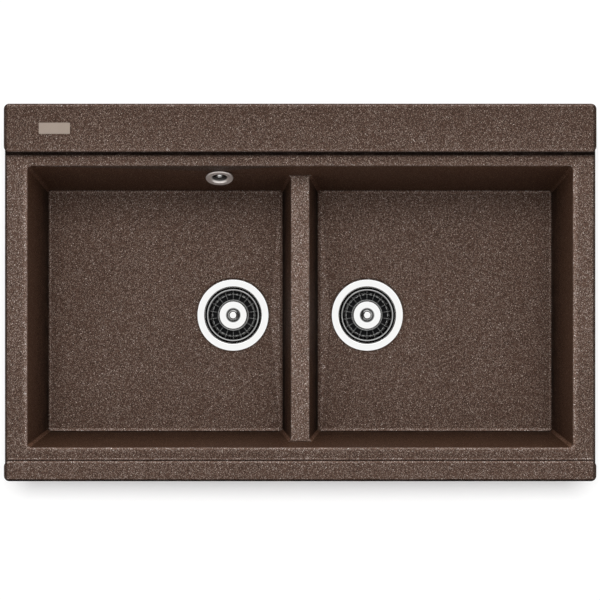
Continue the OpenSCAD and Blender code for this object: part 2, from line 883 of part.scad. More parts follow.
// Rubber stopper that closes the cup's neck when the basket is down
module basket_stopper(side) {
    seal_r = slot_ring_d / 2;
    color(rubber)
        at_waste(side)
            translate([0, 0, flange_z])
                turned([
                    [stem_r, -stopper_top], [11, -stopper_top], [12, -stopper_top - 5],
                    [seal_r - 1, -stopper_base + 3], [seal_r, -stopper_base + 1.8], [seal_r, -stopper_base],
                    [neck_r - 0.5, -stopper_base], [neck_r - 2, -stopper_body], [stem_r, -stopper_body]
                ]);
}

// Pressed rosette: flat ring, dished middle, four openings round the screw
module overflow_rosette() {
    face_z = 1.8;
    edge_r = 1.2;
    lip_z = 0;
    dish_r = dish_d / 2;
    dish_floor_r = dish_r - 2.7;
    opening_in = 4.4;
    opening_out = dish_floor_r - 0.5;
    opening_turn = 64;
    path = concat(
        [[rosette_d / 2, lip_z]],
        arc(rosette_d / 2 - edge_r, face_z - edge_r, edge_r, 0, 90, 4),
        arc(dish_r + edge_r, face_z - edge_r, edge_r, 90, 150, 3),
        [[dish_floor_r, dish_z], [overflow_screw_r + turn_gap, dish_z]]
    );
    color(brushed)
        at_overflow()
            difference() {
                turned(sheet(path, sheet_t));
                for (i = [0:3])
                    rotate([0, 0, i * 90 - opening_turn / 2])
                        translate([0, 0, dish_z - sheet_t - lap])
                            rotate_extrude(angle = opening_turn)
                                translate([opening_in, 0])
                                    square([opening_out - opening_in, sheet_t + 2 * lap]);
            }
}

module overflow_screw() {
    head_r = 3.8;
    head_h = 1.9;
    slot_w = 1;
    crown_r = 4.6;
    crown_start = 62;
    color(steel)
        at_overflow()
            difference() {
                turned(concat(
                    [[0, -elbow_reach], [overflow_screw_r, -elbow_reach]],
                    [[overflow_screw_r, dish_z], [head_r, dish_z]],
                    arc(0, dish_z + head_h - crown_r, crown_r, crown_start, 90, 4)
                ));
                translate([-head_r - lap, -slot_w / 2, dish_z + head_h / 2])
                    cube([2 * (head_r + lap), slot_w, head_h]);
            }
}

module overflow_gasket() {
    color(rubber)
        at_overflow()
            ring(seat_r, overflow_hole_d / 2, -seat_l - overflow_gasket_t, -seat_l);
}

// Moulded elbow behind the wall: clamping plate, round chamber, pillar for the screw, spigot
module overflow_elbow() {
    plate_z = -seat_l - overflow_gasket_t;
    wall = 2.5;
    pillar_r = 4.5;
    stop_w = 1.2;
    neck_step = 0.3;
    color(plastic)
        difference() {
            union() {
                difference() {
                    union() {
                        at_overflow() {
                            disc(seat_r, plate_z - elbow_plate_t, plate_z);
                            disc(elbow_r - neck_step, -elbow_reach, plate_z);
                        }
                        translate([overflow_x, elbow_y, elbow_z]) {
                            sphere(r = elbow_r);
                            disc(spigot_r, -spigot_l, 0);
                        }
                    }
                    at_overflow()
                        disc(elbow_r - wall - neck_step, -elbow_reach, plate_z + elbow_r);
                    translate([overflow_x, elbow_y, elbow_z]) {
                        sphere(r = elbow_r - wall);
                        disc(spigot_inner_r - stop_w, -spigot_l, 0);
                    }
                    translate([overflow_x, elbow_y, 0])
                        disc(spigot_inner_r, elbow_z - spigot_l - lap, pipe_top_z);
                }
                at_overflow()
                    disc(pillar_r, -elbow_reach - elbow_r + wall / 2, plate_z - elbow_plate_t);
            }
            at_overflow()
                disc(overflow_screw_r, -elbow_reach, plate_z + lap);
        }
}

// Rigid pipe from the elbow down behind the bowl and forward to the left waste
module overflow_pipe() {
    r = pipe_d / 2;
    low_z = pipe_z + pipe_bend;
    start_x = body_r + 3;
    color(plastic)
        along_pipe() {
            translate([pipe_run, 0, 0])
                ring(r, r - pipe_wall, low_z, pipe_top_z);
            translate([start_x, 0, pipe_z])
                rotate([0, 90, 0])
                    ring(r, r - pipe_wall, 0, pipe_run - pipe_bend - start_x);
            translate([pipe_run - pipe_bend, 0, low_z])
                rotate([-90, 0, 0])
                    rotate_extrude(angle = 90)
                        translate([pipe_bend, 0])
                            difference() {
                                circle(r = r);
                                circle(r = r - pipe_wall);
                            }
        }
}

// Union nut with flats, its mouth towards +Z and its narrow end at z = 0
module union_nut() {
    difference() {
        cylinder(r = nut_r, h = nut_l, $fn = nut_flats);
        translate([0, 0, -lap])
            cylinder(r = pipe_d / 2 + rest_gap, h = nut_l);
        translate([0, 0, nut_l - nut_cover])
            cylinder(r = spigot_r + turn_gap, h = nut_cover + lap);
    }
}

module at_upper_nut() {
    translate([overflow_x, elbow_y, elbow_z - spigot_l - nut_l + nut_cover - nut_lead])
        children();
}

module at_lower_nut() {
    along_pipe()
        translate([inlet_end + nut_l - nut_cover + nut_lead, 0, pipe_z])
            rotate([0, -90, 0])
                children();
}

module overflow_upper_nut() {
    color(plastic)
        at_upper_nut()
            union_nut();
}

module overflow_lower_nut() {
    color(plastic)
        at_lower_nut()
            union_nut();
}

module overflow_cone_washers() {
    r = pipe_d / 2;
    base = nut_l - nut_cover;
    washer = [
        [r, base], [spigot_r - 0.2, base], [spigot_r - 0.2, base + 1.5], [r + 0.2, base + 3], [r, base + 3]
    ];
    color(rubber) {
        at_upper_nut()
            turned(washer);
        at_lower_nut()
            turned(washer);
    }
}

module clamp_anchors() {
    collar_r = 8;
    plug_top = clamp_hole_h - clamp_boss_h - rest_gap;
    color(plastic)
        for (p = clamp_places)
            translate([p[0], p[1], 0])
                turned([
                    [clamp_screw_d / 2, -clamp_boss_h - collar_t], [collar_r, -clamp_boss_h - collar_t],
                    [collar_r, -clamp_boss_h], [clamp_hole_r, -clamp_boss_h], [clamp_hole_r, plug_top],
                    [clamp_screw_d / 2, plug_top]
                ]);
}

module clamp_screws() {
    head_r = clamp_screw_d;
    head_h = 3.5;
    under_head = jaw_bottom_z - rest_gap;
    top = clamp_hole_h - clamp_boss_h - lap;
    slot_w = 1.2;
    slot_h = 1.8;
    color(steel)
        for (p = clamp_places)
            translate([p[0], p[1], 0])
                difference() {
                    turned([
                        [0, under_head - head_h], [head_r - 0.8, under_head - head_h],
                        [head_r, under_head - head_h + 0.8], [head_r, under_head],
                        [clamp_screw_d / 2, under_head], [clamp_screw_d / 2, top], [0, top]
                    ]);
                    for (turn = [0, 90])
                        rotate([0, 0, turn])
                            translate([-head_r + 1.5, -slot_w / 2, under_head - head_h - lap])
                                cube([2 * head_r - 3, slot_w, slot_h + lap]);
                }
}

// Toothed jaw parked along the rim; it swings out under the worktop
module clamp_jaw(place) {
    tooth_pitch = 3;
    tooth_dip = 1.6;
    tooth_start = jaw_reach - 2 * tooth_pitch;
    rib_t = 3;
    arm_z = jaw_hub_h - jaw_arm_t;
    top_z = jaw_hub_h + tooth_h;
    color(zinc)
        translate([place[0], place[1], jaw_bottom_z])
            difference() {
                union() {
                    cylinder(r = jaw_hub_r, h = jaw_hub_h);
                    translate([0, 0, arm_z])
                        linear_extrude(jaw_arm_t)
                            polygon([
                                [0, -jaw_hub_r], [jaw_reach - 1, -jaw_w / 2], [jaw_reach, -jaw_w / 2 + 1],
                                [jaw_reach, jaw_w / 2 - 1], [jaw_reach - 1, jaw_w / 2], [0, jaw_hub_r]
                            ]);
                    rotate([90, 0, 0]) {
                        linear_extrude(jaw_w - 2, center = true)
                            polygon([
                                [tooth_start - 1, arm_z + lap], [tooth_start - 1, jaw_hub_h],
                                [tooth_start, top_z], [tooth_start + tooth_pitch / 2, top_z - tooth_dip],
                                [tooth_start + tooth_pitch, top_z],
                                [tooth_start + 1.5 * tooth_pitch, top_z - tooth_dip],
                                [jaw_reach, top_z], [jaw_reach, arm_z + lap]
                            ]);
                        linear_extrude(rib_t, center = true)
                            polygon([[0, lap], [0, arm_z + lap], [jaw_reach - 2, arm_z + lap], [jaw_hub_r, lap]]);
                    }
                }
                translate([0, 0, -lap])
                    cylinder(r = clamp_screw_d / 2 + turn_gap, h = jaw_hub_h + 2 * lap);
            }
}

sink_body();
rim_seal();
badge_plate();
flange_cup(-1);  // left_flange_cup
flange_cup(1);  // right_flange_cup
upper_gasket(-1);  // left_upper_gasket
upper_gasket(1);  // right_upper_gasket
lower_gasket(-1);  // left_lower_gasket
lower_gasket(1);  // right_lower_gasket
waste_body(-1, true);  // left_waste_body
waste_body(1, false);  // right_waste_body
clamp_bolt(-1);  // left_clamp_bolt
clamp_bolt(1);  // right_clamp_bolt
basket(-1);  // left_basket
basket(1);  // right_basket
basket_knob(-1);  // left_basket_knob
basket_knob(1);  // right_basket_knob
basket_stem(-1);  // left_basket_stem
basket_stem(1);  // right_basket_stem
basket_stopper(-1);  // left_basket_stopper
basket_stopper(1);  // right_basket_stopper
overflow_rosette();
overflow_screw();
overflow_gasket();
overflow_elbow();
overflow_pipe();
overflow_upper_nut();
overflow_lower_nut();
overflow_cone_washers();
clamp_anchors();
clamp_screws();
clamp_jaw(clamp_places[0]);  // clamp_jaw_1
clamp_jaw(clamp_places[1]);  // clamp_jaw_2
clamp_jaw(clamp_places[2]);  // clamp_jaw_3
clamp_jaw(clamp_places[3]);  // clamp_jaw_4
clamp_jaw(clamp_places[4]);  // clamp_jaw_5
clamp_jaw(clamp_places[5]);  // clamp_jaw_6
clamp_jaw(clamp_places[6]);  // clamp_jaw_7
clamp_jaw(clamp_places[7]);  // clamp_jaw_8
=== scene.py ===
import json
import math
from functools import partial
import bpy
import bmesh
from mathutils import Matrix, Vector

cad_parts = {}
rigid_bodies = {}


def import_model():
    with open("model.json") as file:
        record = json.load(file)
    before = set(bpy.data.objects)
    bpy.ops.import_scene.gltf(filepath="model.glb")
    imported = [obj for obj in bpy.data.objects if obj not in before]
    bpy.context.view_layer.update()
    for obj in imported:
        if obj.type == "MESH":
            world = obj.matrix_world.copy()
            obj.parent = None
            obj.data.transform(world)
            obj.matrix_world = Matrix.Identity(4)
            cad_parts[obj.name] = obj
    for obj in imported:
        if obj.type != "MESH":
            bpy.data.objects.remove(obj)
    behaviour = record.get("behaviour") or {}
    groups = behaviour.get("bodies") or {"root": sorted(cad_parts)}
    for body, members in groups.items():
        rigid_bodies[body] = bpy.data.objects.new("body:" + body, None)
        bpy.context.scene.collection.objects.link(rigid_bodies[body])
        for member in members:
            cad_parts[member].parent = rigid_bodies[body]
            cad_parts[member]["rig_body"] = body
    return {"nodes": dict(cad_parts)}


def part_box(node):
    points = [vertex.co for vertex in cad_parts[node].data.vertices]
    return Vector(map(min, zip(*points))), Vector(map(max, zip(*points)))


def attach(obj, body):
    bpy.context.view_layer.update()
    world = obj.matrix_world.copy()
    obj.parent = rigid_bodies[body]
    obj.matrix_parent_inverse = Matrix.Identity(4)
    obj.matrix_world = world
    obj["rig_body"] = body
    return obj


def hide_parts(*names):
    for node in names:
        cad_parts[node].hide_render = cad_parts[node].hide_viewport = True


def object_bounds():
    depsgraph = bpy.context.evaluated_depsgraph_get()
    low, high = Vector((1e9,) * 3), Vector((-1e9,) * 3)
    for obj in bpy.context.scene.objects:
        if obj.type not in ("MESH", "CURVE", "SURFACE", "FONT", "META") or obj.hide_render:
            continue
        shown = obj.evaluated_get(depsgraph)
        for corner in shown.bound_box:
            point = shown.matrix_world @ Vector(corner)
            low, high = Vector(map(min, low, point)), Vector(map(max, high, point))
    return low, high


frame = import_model()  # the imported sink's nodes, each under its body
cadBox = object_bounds()
scene = bpy.context.scene
scene.view_settings.view_transform = "Standard"
mm = 0.001
print("frame loaded:", len(frame["nodes"]), "nodes")


photoView = {
    "fieldWidth": 0.7894,   # metres across the picture at the ledge's top
    "distance": 6.6,
    "sensor": 36.0,
    "middle": (-0.0002, -0.0099, 0.015),
    "clipEnd": 60,
}


def makeCamera(view):
    lensData = bpy.data.cameras.new("photoCamera")
    lensData.sensor_width = view["sensor"]
    lensData.lens = view["sensor"] * view["distance"] / view["fieldWidth"]
    lensData.clip_end = view["clipEnd"]
    camera = bpy.data.objects.new("photoCamera", lensData)
    x, y, z = view["middle"]
    camera.location = (x, y, z + view["distance"])
    scene.collection.objects.link(camera)
    scene.camera = camera


makeCamera(photoView)


studio = {
    "floorSize": 14.0,
    "floorDrop": 0.0005,        # under the sink's lowest point
    "floorColor": 0.92,
    "floorGlow": 0.1,           # seen by the camera and in metal only, so that open floor is white
    "ambient": 0.17,
    "sunDistance": 4.0,
    "sunStrength": 2.3,         # this sun lights the sink, and the next one the floor
    "sunAngle": 28.0,
    "sunLean": 11.0,            # degrees from straight down, coming from the back
    "floorSunStrength": 2.75,
    "floorSunAngle": 11.0,
    "floorSunLean": 2.5,
    "backPower": 10.0,
    "backPlace": (0.0, 2.3, 3.2),
    "backSize": (3.0, 1.2),
    "sidePower": 2.0,
    "sidePlace": (2.6, 0.6, 2.6),
    "sideSize": (1.0, 2.4),
}


def connect(tree, source, target):
    tree.links.new(source, target)


def feed(tree, value, target):
    # A socket is linked, and any other value is written in
    if isinstance(value, bpy.types.NodeSocket):
        connect(tree, value, target)
    else:
        target.default_value = value


def mathNode(tree, operation, *values):
    node = tree.nodes.new("ShaderNodeMath")
    node.operation = operation
    for index, value in enumerate(values):
        feed(tree, value, node.inputs[index])
    return node.outputs[0]


def vectorNode(tree, operation, first, second):
    node = tree.nodes.new("ShaderNodeVectorMath")
    node.operation = operation
    feed(tree, first, node.inputs[0])
    feed(tree, second, node.inputs["Scale"] if operation == "SCALE" else node.inputs[1])
    return node.outputs[0]


def seenBackground(tree):
    # 1 for what the camera sees, straight or in metal and glass
    path = tree.nodes.new("ShaderNodeLightPath").outputs
    seen = mathNode(tree, "MAXIMUM", path["Is Camera Ray"], path["Is Glossy Ray"])
    return mathNode(tree, "MAXIMUM", seen, path["Is Transmission Ray"])


def makeFloor(settings):
    half = settings["floorSize"] / 2
    z = cadBox[0][2] - settings["floorDrop"]
    corners = [(-half, -half, z), (half, -half, z), (half, half, z), (-half, half, z)]
    mesh = bpy.data.meshes.new("studioFloor")
    mesh.from_pydata(corners, [], [(0, 1, 2, 3)])
    floor = bpy.data.objects.new("studioFloor", mesh)
    scene.collection.objects.link(floor)
    material = bpy.data.materials.new("studioFloor")
    material.use_nodes = True
    tree = material.node_tree
    tree.nodes.clear()
    output = tree.nodes.new("ShaderNodeOutputMaterial")
    both = tree.nodes.new("ShaderNodeAddShader")
    plain = tree.nodes.new("ShaderNodeBsdfDiffuse")
    glow = tree.nodes.new("ShaderNodeEmission")
    plain.inputs["Color"].default_value = (*[settings["floorColor"]] * 3, 1)
    strength = mathNode(tree, "MULTIPLY", seenBackground(tree), settings["floorGlow"])
    connect(tree, strength, glow.inputs["Strength"])
    connect(tree, plain.outputs[0], both.inputs[0])
    connect(tree, glow.outputs[0], both.inputs[1])
    connect(tree, both.outputs[0], output.inputs["Surface"])
    mesh.materials.append(material)
    return floor


def makeWorld(settings):
    world = bpy.data.worlds.new("studioWorld")
    scene.world = world
    world.use_nodes = True
    tree = world.node_tree
    tree.nodes.clear()
    output = tree.nodes.new("ShaderNodeOutputWorld")
    background = tree.nodes.new("ShaderNodeBackground")
    background.inputs["Color"].default_value = (1, 1, 1, 1)
    ambient = settings["ambient"]
    strength = mathNode(tree, "MULTIPLY_ADD", seenBackground(tree), 1 - ambient, ambient)
    connect(tree, strength, background.inputs["Strength"])
    connect(tree, background.outputs[0], output.inputs["Surface"])


def makeLamp(name, kind, place):
    # Aimed at the middle of the rim
    data = bpy.data.lights.new(name, kind)
    lamp = bpy.data.objects.new(name, data)
    lamp.location = place
    lamp.rotation_euler = (-Vector(place)).to_track_quat("-Z", "Y").to_euler()
    scene.collection.objects.link(lamp)
    return lamp


def linkToFloor(lamp, floor, state):
    # INCLUDE lights the floor alone, and EXCLUDE all but the floor
    receivers = bpy.data.collections.new(lamp.name + "Receivers")
    receivers.objects.link(floor)
    receivers.collection_objects[0].light_linking.link_state = state
    lamp.light_linking.receiver_collection = receivers


def makeSun(name, settings, prefix):
    lean = math.radians(settings[prefix + "Lean"])
    away = settings["sunDistance"]
    sun = makeLamp(name, "SUN", (0, away * math.sin(lean), away * math.cos(lean)))
    sun.data.energy = settings[prefix + "Strength"]
    sun.data.angle = math.radians(settings[prefix + "Angle"])
    sun.visible_glossy = False
    return sun


def makeLamps(settings, floor):
    linkToFloor(makeSun("overheadSun", settings, "sun"), floor, "EXCLUDE")
    linkToFloor(makeSun("floorSun", settings, "floorSun"), floor, "INCLUDE")
    boxes = [("backBox", settings["backPlace"], settings["backSize"], settings["backPower"])]
    x, y, z = settings["sidePlace"]
    for name, side in (("leftBox", -1), ("rightBox", 1)):
        boxes.append((name, (side * x, y, z), settings["sideSize"], settings["sidePower"]))
    for name, place, size, power in boxes:
        lamp = makeLamp(name, "AREA", place)
        lamp.data.shape = "RECTANGLE"
        lamp.data.size, lamp.data.size_y = size
        lamp.data.energy = power
        linkToFloor(lamp, floor, "EXCLUDE")


floor = makeFloor(studio)
makeWorld(studio)
makeLamps(studio, floor)
print("studio ready")


def newGroup(name, inputs, outputs):
    group = bpy.data.node_groups.new(name, "ShaderNodeTree")
    for direction, sockets in (("INPUT", inputs), ("OUTPUT", outputs)):
        for label, kind in sockets:
            group.interface.new_socket(label, in_out=direction, socket_type="NodeSocket" + kind)
    given = group.nodes.new("NodeGroupInput").outputs
    return group, given, group.nodes.new("NodeGroupOutput").inputs


def mixColors(tree, blend, factor, first, second):
    node = tree.nodes.new("ShaderNodeMix")
    node.data_type = "RGBA"
    node.blend_type = blend
    for index, value in ((0, factor), (6, first), (7, second)):
        feed(tree, value, node.inputs[index])
    return node.outputs[2]


def rescale(tree, value, low, high, toLow, toHigh):
    node = tree.nodes.new("ShaderNodeMapRange")
    for index, item in enumerate((value, low, high, toLow, toHigh)):
        feed(tree, item, node.inputs[index])
    return node.outputs[0]


def noise(tree, vector, scale, detail=3.0):
    node = tree.nodes.new("ShaderNodeTexNoise")
    connect(tree, vector, node.inputs["Vector"])
    feed(tree, scale, node.inputs["Scale"])
    node.inputs["Detail"].default_value = detail
    return node.outputs["Fac"]


def cells(tree, vector, scale):
    # Three random numbers for each cell, and the distance to its middle
    node = tree.nodes.new("ShaderNodeTexVoronoi")
    connect(tree, vector, node.inputs["Vector"])
    connect(tree, scale, node.inputs["Scale"])
    parts = tree.nodes.new("ShaderNodeSeparateColor")
    connect(tree, node.outputs["Color"], parts.inputs[0])
    return parts.outputs, node.outputs["Distance"]


def splitVector(tree, vector):
    parts = tree.nodes.new("ShaderNodeSeparateXYZ")
    connect(tree, vector, parts.inputs[0])
    return parts.outputs


graniteLook = {
    "Body": (0.092, 0.0535, 0.039, 1),
    "Dark Grain": (0.020, 0.010, 0.006, 1),
    "Light Grain": (0.30, 0.235, 0.20, 1),
    "Chip": (0.66, 0.58, 0.52, 1),
    "Grain Scale": 1500.0,      # grains in a metre
    "Dark Share": 0.30,
    "Light Share": 0.135,
    "Chip Share": 0.013,
    "Drift": 0.04,
    # Tint of the painted highlight
    "Highlight Tint": (1.1, 1.3, 1.45, 1),
    # Painted warm shade tint of the bowls' walls
    "Shaded Wall Tint": (1.25, 0.97, 0.76, 1),
}
grainDetail = {
    "coarseScale": 0.6,         # chips are set apart wider than the grains
    "chipRadius": 0.42,
    "bodySpread": 0.35,         # how far the body colour goes towards the dark grain's
    "darkCover": 0.85,
    "lightCover": 0.8,
    "chipCover": 0.8,
    "patchScale": 45.0,
    "patches": (0.35, 0.65, 0.85, 1.1),
    "driftScale": 9.0,
    "driftSpan": (0.3, 0.7),
    # The darkest the painted shade goes, and how much rougher it makes the stone
    "darkestShade": 0.1,
    "shadeRoughness": 0.4,
    "roughSpread": 0.06,
    "fineHeight": 0.6,
    "coarseHeight": 0.4,
}
# Places on the stone in metres, and the strength of each painted highlight and painted shade
graniteLightPaint = {
    "Divider Half": 0.0145,
    "Divider Top": -0.064,
    "Divider Wear": 1.0,
    "Opening Half X": 0.3605,   # half of the opening over both bowls, and its middle
    "Opening Half Y": 0.1872,
    "Opening Y": -0.0193,
    "Low Top": 0.0105,          # parts the flat rim from the ledge above it
    "Low Wear": 0.11,
    "Rim Wear": 0.36,
    "Side Band": 1.6,           # painted highlight band round the opening, at left and right
    "End Band": 0.48,           # and at front and back
    "Ledge Front": 0.187,
    "Ledge Back": 0.246,
    "Ledge Wear": 0.24,
    "Floor Top": -0.186,
    "Floor Wear": 0.2,
    "Strip Line": -0.2230,      # y of the fine painted highlight lines, from side to side
    "Land Line": -0.2190,
    "Ledge Line": 0.1882,
    "Back Line": 0.2460,
    "Line Wear": 1.0,
    "Channel Back": 0.1850,     # between the rim and the ledge
    "Channel Front": 0.1770,
    "Channel Shade": 0.6,
    "Side Outline": 0.3856,
    "Side Edge Shade": 0.55,
    "Front Outline": -0.2454,
    "Front Edge Shade": 0.88,
}
# From where to where a measure runs, and what it gives there
shadingPaintSpans = {
    "faceUp": (0.6, 0.9, 0, 1),
    "onTop": (0.003, 0.006, 0, 1),
    "besideDivider": (0.0, 0.002, 1, 0),
    "underDividerTop": (0.0, 0.006, 1, 0),
    "dividerFront": (-0.19, -0.04, 0.78, 1),
    "dividerBack": (0.165, 0.13, 0.7, 1),
    "sideRim": (-0.004, 0.004, 0, 1),
    "sideRimFront": (-0.125, -0.055, 0.3, 1),
    "sideRimBack": (0.19, 0.14, 0.3, 1),
    "band": (0.0, 0.008, 1, 0),
    "floorSide": (0.344, 0.26, 0.1, 1),
    "floorMiddle": (0.02, 0.075, 0.1, 1),
    "floorFront": (-0.18, -0.12, 0.4, 1),
    "aboveWorktop": (-0.002, 0.0, 0, 1),
    "outsideFace": (0.0, 0.12, 0.3, 1),
    "wallDepth": (-0.19, -0.01, 1, 0),
    "dirtOverWear": (0.0, 0.2, 1, 0),
}
shadingPaintDetail = {
    "dividerUnder": -0.03,      # the divider lies below this height
    "bandPower": 2.0,
    "bandStart": -0.01,
    "stripLineHalf": 0.001,
    "landLineHalf": 0.0004,
    "ledgeLineHalf": 0.0006,
    "ledgeLineShare": 0.35,
    "lineFade": 0.0007,
    "sideFade": 0.0008,
    "frontFade": 0.001,
    "channelFade": 0.0035,
    "wallPower": 1.4,
}
graniteSkin = {"roughness": 0.55, "specular": 0.12, "bump": 0.25, "bumpDepth": 0.3 * mm}


def makeGrainGroup(look, detail):
    # Quartz grains cast in resin: dark and light grains over a body colour, and a few bright chips.
    # Painted shading above 0 lightens the stone as a painted highlight, and below 0 darkens it as
    # painted shade.
    inputs = [("Vector", "Vector"), ("Wear", "Float"), ("Wall", "Float")]
    for label, value in look.items():
        inputs.append((label, "Color" if isinstance(value, tuple) else "Float"))
    outputs = [("Color", "Color"), ("Rough", "Float"), ("Height", "Float")]
    group, given, result = newGroup("stoneGrain", inputs, outputs)
    calc, vectorCalc = partial(mathNode, group), partial(vectorNode, group)
    mix, span = partial(mixColors, group), partial(rescale, group)
    vector, scale = given["Vector"], given["Grain Scale"]

    def share(value, label):
        return calc("GREATER_THAN", value, calc("SUBTRACT", 1.0, given[label]))

    fine, fineDistance = cells(group, vector, scale)
    coarseScale = calc("MULTIPLY", scale, detail["coarseScale"])
    coarse, coarseDistance = cells(group, vector, coarseScale)
    darkMask = calc("LESS_THAN", fine[0], given["Dark Share"])
    lightMask = share(fine[1], "Light Share")
    inChip = calc("LESS_THAN", coarseDistance, detail["chipRadius"])
    chipMask = calc("MULTIPLY", share(coarse[1], "Chip Share"), inChip)
    spread = span(fine[2], 0, 1, 0, detail["bodySpread"])
    color = mix("MIX", spread, given["Body"], given["Dark Grain"])
    layers = (
        (darkMask, "darkCover", "Dark Grain"),
        (lightMask, "lightCover", "Light Grain"),
        (chipMask, "chipCover", "Chip"),
    )
    for mask, cover, label in layers:
        color = mix("MIX", calc("MULTIPLY", mask, detail[cover]), color, given[label])

    patches = span(noise(group, vector, detail["patchScale"]), *detail["patches"])
    paintedLight = calc("MULTIPLY", given["Wear"], patches)
    drift = given["Drift"]
    low, high = calc("SUBTRACT", 1.0, drift), calc("ADD", 1.0, drift)
    shade = span(noise(group, vector, detail["driftScale"]), *detail["driftSpan"], low, high)
    # Painted shade darkens the colour, and the painted highlight lightens it with its tint
    shadedPart = calc("MINIMUM", paintedLight, 0.0)
    paintedShade = calc("MAXIMUM", calc("ADD", shadedPart, 1.0), detail["darkestShade"])
    lightPaint = vectorCalc("SCALE", given["Highlight Tint"], calc("MAXIMUM", paintedLight, 0.0))
    color = vectorCalc("MULTIPLY", color, vectorCalc("ADD", lightPaint, (1, 1, 1)))
    color = vectorCalc("SCALE", color, calc("MULTIPLY", shade, paintedShade))
    # Painted warm shade tint on the bowls' walls
    inBowl = calc("GREATER_THAN", given["Wall"], 0.0)
    connect(group, mix("MULTIPLY", inBowl, color, given["Shaded Wall Tint"]), result["Color"])

    rough = span(fine[2], 0, 1, -detail["roughSpread"], detail["roughSpread"])
    rough = calc("MULTIPLY_ADD", shadedPart, -detail["shadeRoughness"], rough)
    connect(group, rough, result["Rough"])
    coarseHeight = calc("MULTIPLY", coarseDistance, detail["coarseHeight"])
    height = calc("ADD", calc("MULTIPLY", fineDistance, detail["fineHeight"]), coarseHeight)
    connect(group, height, result["Height"])
    return group


def makeShadingPaintGroup(labels, spans, detail):
    # Painted highlights, above 0, and painted shade, below 0, placed on the stone by position.
    # Edge and Wall come from the mesh.
    inputs = [("Vector", "Vector"), ("Normal", "Vector"), ("Edge", "Float"), ("Wall", "Float")]
    inputs += [(label, "Float") for label in labels]
    group, given, result = newGroup("handWear", inputs, [("Wear", "Float")])
    calc = partial(mathNode, group)

    def times(first, *others):
        for other in others:
            first = calc("MULTIPLY", first, other)
        return first

    def most(first, *others):
        for other in others:
            first = calc("MAXIMUM", first, other)
        return first

    def span(value, name):
        return rescale(group, value, *spans[name])

    def past(value, border, reach, paintedShade):
        # Grows from 0 at the border to the full painted shade
        return rescale(group, calc("SUBTRACT", value, border), 0.0, reach, 0, paintedShade)

    def line(label, half):
        away = calc("ABSOLUTE", calc("SUBTRACT", y, given[label]))
        return rescale(group, away, half, half + detail["lineFade"], 1, 0)

    place = splitVector(group, given["Vector"])
    x, y, z = calc("ABSOLUTE", place[0]), place[1], place[2]
    faceZ = splitVector(group, given["Normal"])[2]
    outX = calc("SUBTRACT", x, given["Opening Half X"])
    outY = calc("ABSOLUTE", calc("SUBTRACT", y, given["Opening Y"]))
    outY = calc("SUBTRACT", outY, given["Opening Half Y"])
    faceUp = span(faceZ, "faceUp")
    onTop = span(z, "onTop")
    onLow = times(onTop, calc("LESS_THAN", z, given["Low Top"]))

    # Painted highlight on the divider's top
    beside = span(calc("SUBTRACT", x, given["Divider Half"]), "besideDivider")
    below = span(calc("SUBTRACT", given["Divider Top"], z), "underDividerTop")
    along = calc("MINIMUM", span(y, "dividerFront"), span(y, "dividerBack"))
    deep = calc("LESS_THAN", z, detail["dividerUnder"])
    divider = times(beside, below, deep, faceUp, given["Divider Wear"], along)

    # Painted highlight on the side rims and the flat rim, strongest in a band round the opening
    along = calc("MINIMUM", span(y, "sideRimFront"), span(y, "sideRimBack"))
    sideRim = times(span(outX, "sideRim"), given["Rim Wear"], along)
    band = calc("POWER", span(most(outX, outY), "band"), detail["bandPower"])
    side, end = given["Side Band"], given["End Band"]
    band = times(band, rescale(group, outY, detail["bandStart"], 0.0, side, end))
    low = times(calc("ADD", calc("ADD", sideRim, band), given["Low Wear"]), onLow)
    # Painted highlight on the ledge, growing towards its front
    ledge = rescale(group, y, given["Ledge Front"], given["Ledge Back"], given["Ledge Wear"], 0)
    ledge = times(ledge, calc("GREATER_THAN", z, given["Low Top"]))
    # Fine painted highlight lines along the strip, the land, the ledge and the back edge
    lines = most(
        line("Strip Line", detail["stripLineHalf"]),
        line("Land Line", detail["landLineHalf"]),
        line("Back Line", detail["ledgeLineHalf"]),
        times(line("Ledge Line", detail["ledgeLineHalf"]), detail["ledgeLineShare"]),
    )
    lines = times(lines, given["Line Wear"], onTop)

    # Painted highlight in the middle of the floors
    middle = times(span(x, "floorSide"), span(x, "floorMiddle"), span(y, "floorFront"))
    onFloor = calc("LESS_THAN", z, given["Floor Top"])
    onFloor = times(onFloor, given["Floor Wear"], faceUp)
    top = calc("ADD", calc("ADD", low, ledge), calc("MULTIPLY_ADD", middle, onFloor, lines))
    paintedLight = most(divider, top, given["Edge"], 0.0)

    # Painted shade on the sink's outer edges
    sideEdgeShade = past(x, given["Side Outline"], detail["sideFade"], given["Side Edge Shade"])
    frontEdgeShade = past(given["Front Outline"], y, detail["frontFade"], given["Front Edge Shade"])
    outside = times(most(sideEdgeShade, frontEdgeShade), span(z, "aboveWorktop"), span(faceZ, "outsideFace"))
    # Painted shade in the channel between the rim and the ledge
    channel = past(y, given["Channel Front"], detail["channelFade"], given["Channel Shade"])
    channel = times(channel, calc("LESS_THAN", y, given["Channel Back"]), onLow)
    # Painted shade, darker towards the foot of the bowls' walls
    wallFoot = times(calc("POWER", span(z, "wallDepth"), detail["wallPower"]), given["Wall"])
    paintedShade = most(outside, channel, wallFoot, times(given["Edge"], -1.0))
    highlightOutsideShade = times(paintedLight, span(paintedShade, "dirtOverWear"))
    connect(group, calc("SUBTRACT", highlightOutsideShade, paintedShade), result["Wear"])
    return group


latheDetail = {
    "ringDetail": 2.0,
    "tone": (0.3, 0.7, 0.93, 1.0),
    "smudgeScale": 60.0,
    "smudge": (0.35, 0.7, 0, 1),
}
mouldDetail = {
    "peelDetail": 1.0,
    "mottleScale": 35.0,
    "mottle": (0.3, 0.7, 0, 1),
    "mottleRough": (0.3, 0.7, -0.05, 0.05),
    "mottleTint": (0.55, 0.55, 0.52, 1),
}


